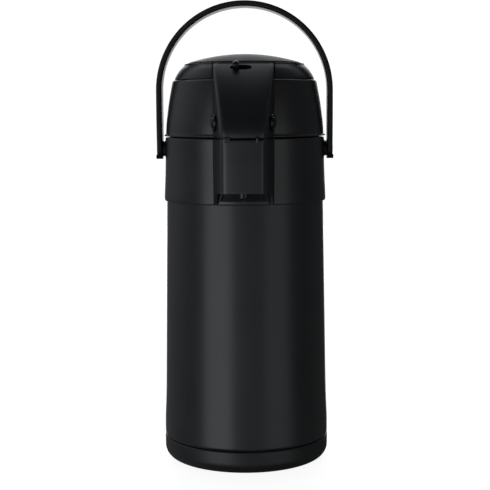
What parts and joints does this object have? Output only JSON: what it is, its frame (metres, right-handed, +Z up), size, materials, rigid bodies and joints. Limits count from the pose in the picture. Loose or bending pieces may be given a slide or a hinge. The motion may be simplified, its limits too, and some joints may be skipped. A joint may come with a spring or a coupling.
{
  "type": "thermal coffee airpot",
  "caption": "Tall insulated pump dispenser with a tapered body, hinged lid, domed push pad, hooded spout, lock slider, side release buttons and a bail handle.",
  "frame": {"origin": "centre of the flat underside, where the foot pad rests", "axes": "+Z up, -Y towards the spout, +X to the right when facing the spout"},
  "size_m": [0.171, 0.1942, 0.4428],
  "materials": {
    "base_plastic": "fine moulded texture, satin",
    "satin_black_paint": "satin black coat on steel",
    "black_plastic": "satin black moulded plastic",
    "pad_plastic": "satin black moulded plastic, slightly lighter",
    "handle_plastic": "satin black moulded plastic",
    "gloss_black_plastic": "polished black",
    "inner_plastic": "plain dark grey moulding",
    "tube_plastic": "smooth pale tube",
    "black_rubber": "dull black rubber",
    "brushed_steel": "plain brushed stainless"
  },
  "bodies": {
    "vessel": {"base_ring": "base_plastic", "foot_pad": "black_rubber", "base_plate": "inner_plastic", "base_screw_1": "brushed_steel", "base_screw_2": "brushed_steel", "base_screw_3": "brushed_steel", "body_shell": "satin_black_paint", "shell_bottom": "brushed_steel", "liner_spacer": "black_rubber", "liner_dish": "brushed_steel", "liner_wall": "brushed_steel", "liner_shoulder": "brushed_steel", "liner_neck": "brushed_steel", "mouth_ring": "black_plastic", "deck_screw_1": "brushed_steel", "deck_screw_2": "brushed_steel", "deck_screw_3": "brushed_steel", "deck_screw_4": "brushed_steel", "plug_gasket": "black_rubber", "stem_plug": "inner_plastic", "dip_tube": "tube_plastic", "tube_strainer": "inner_plastic", "spout_pipe": "inner_plastic", "nozzle_tip": "gloss_black_plastic", "collar": "black_plastic", "hinge_pin": "brushed_steel", "pivot_pin_left": "brushed_steel", "pivot_pin_right": "brushed_steel", "pivot_bushing_left": "black_plastic", "pivot_bushing_right": "black_plastic", "pin_clip_left": "brushed_steel", "pin_clip_right": "brushed_steel"},
    "lid": {"lid_shell": "black_plastic", "shoulder_ring": "black_plastic", "lock_rail": "inner_plastic", "button_bezel_left": "black_plastic", "button_bezel_right": "black_plastic", "pump_base": "inner_plastic", "lid_screw_1": "brushed_steel", "lid_screw_2": "brushed_steel", "lid_screw_3": "brushed_steel", "lid_screw_4": "brushed_steel", "air_seal": "black_rubber", "bellows": "black_rubber", "return_spring": "brushed_steel"},
    "pad": {"push_pad": "pad_plastic", "pad_plate": "inner_plastic"},
    "lock": {"lock_knob": "gloss_black_plastic", "lock_bar": "inner_plastic"},
    "release_left": {"release_button_left": "gloss_black_plastic", "latch_left": "inner_plastic"},
    "release_right": {"release_button_right": "gloss_black_plastic", "latch_right": "inner_plastic"},
    "bail": {"handle": "handle_plastic", "pivot_cap_left": "gloss_black_plastic", "pivot_cap_right": "gloss_black_plastic"}
  },
  "joints": [
    {"name": "lid_open", "type": "hinge", "parent": "vessel", "child": "lid", "pos_m": [0, 0.082, 0.3143], "axis": [-1, 0, 0], "range_deg": [0, 20]},
    {"name": "pad_press", "type": "slide", "parent": "lid", "child": "pad", "axis": [0, 0, -1], "range_m": [0, 0.022], "stiffness_N_per_m": 200, "springref_m": -0.02, "deforming": ["bellows", "return_spring"]},
    {"name": "lock_slide", "type": "slide", "parent": "lid", "child": "lock", "axis": [1, 0, 0], "range_m": [0, 0.0092]},
    {"name": "release_press_left", "type": "slide", "parent": "lid", "child": "release_left", "axis": [0.972, 0.2351, 0], "range_m": [0, 0.0016], "stiffness_N_per_m": 400, "springref_m": -0.003},
    {"name": "release_press_right", "type": "slide", "parent": "lid", "child": "release_right", "axis": [-0.972, 0.2351, 0], "range_m": [0, 0.0016], "stiffness_N_per_m": 400, "springref_m": -0.003},
    {"name": "bail_swing", "type": "hinge", "parent": "vessel", "child": "bail", "pos_m": [0, 0, 0.3027], "axis": [-1, 0, 0], "range_deg": [-90, 90]}
  ]
}
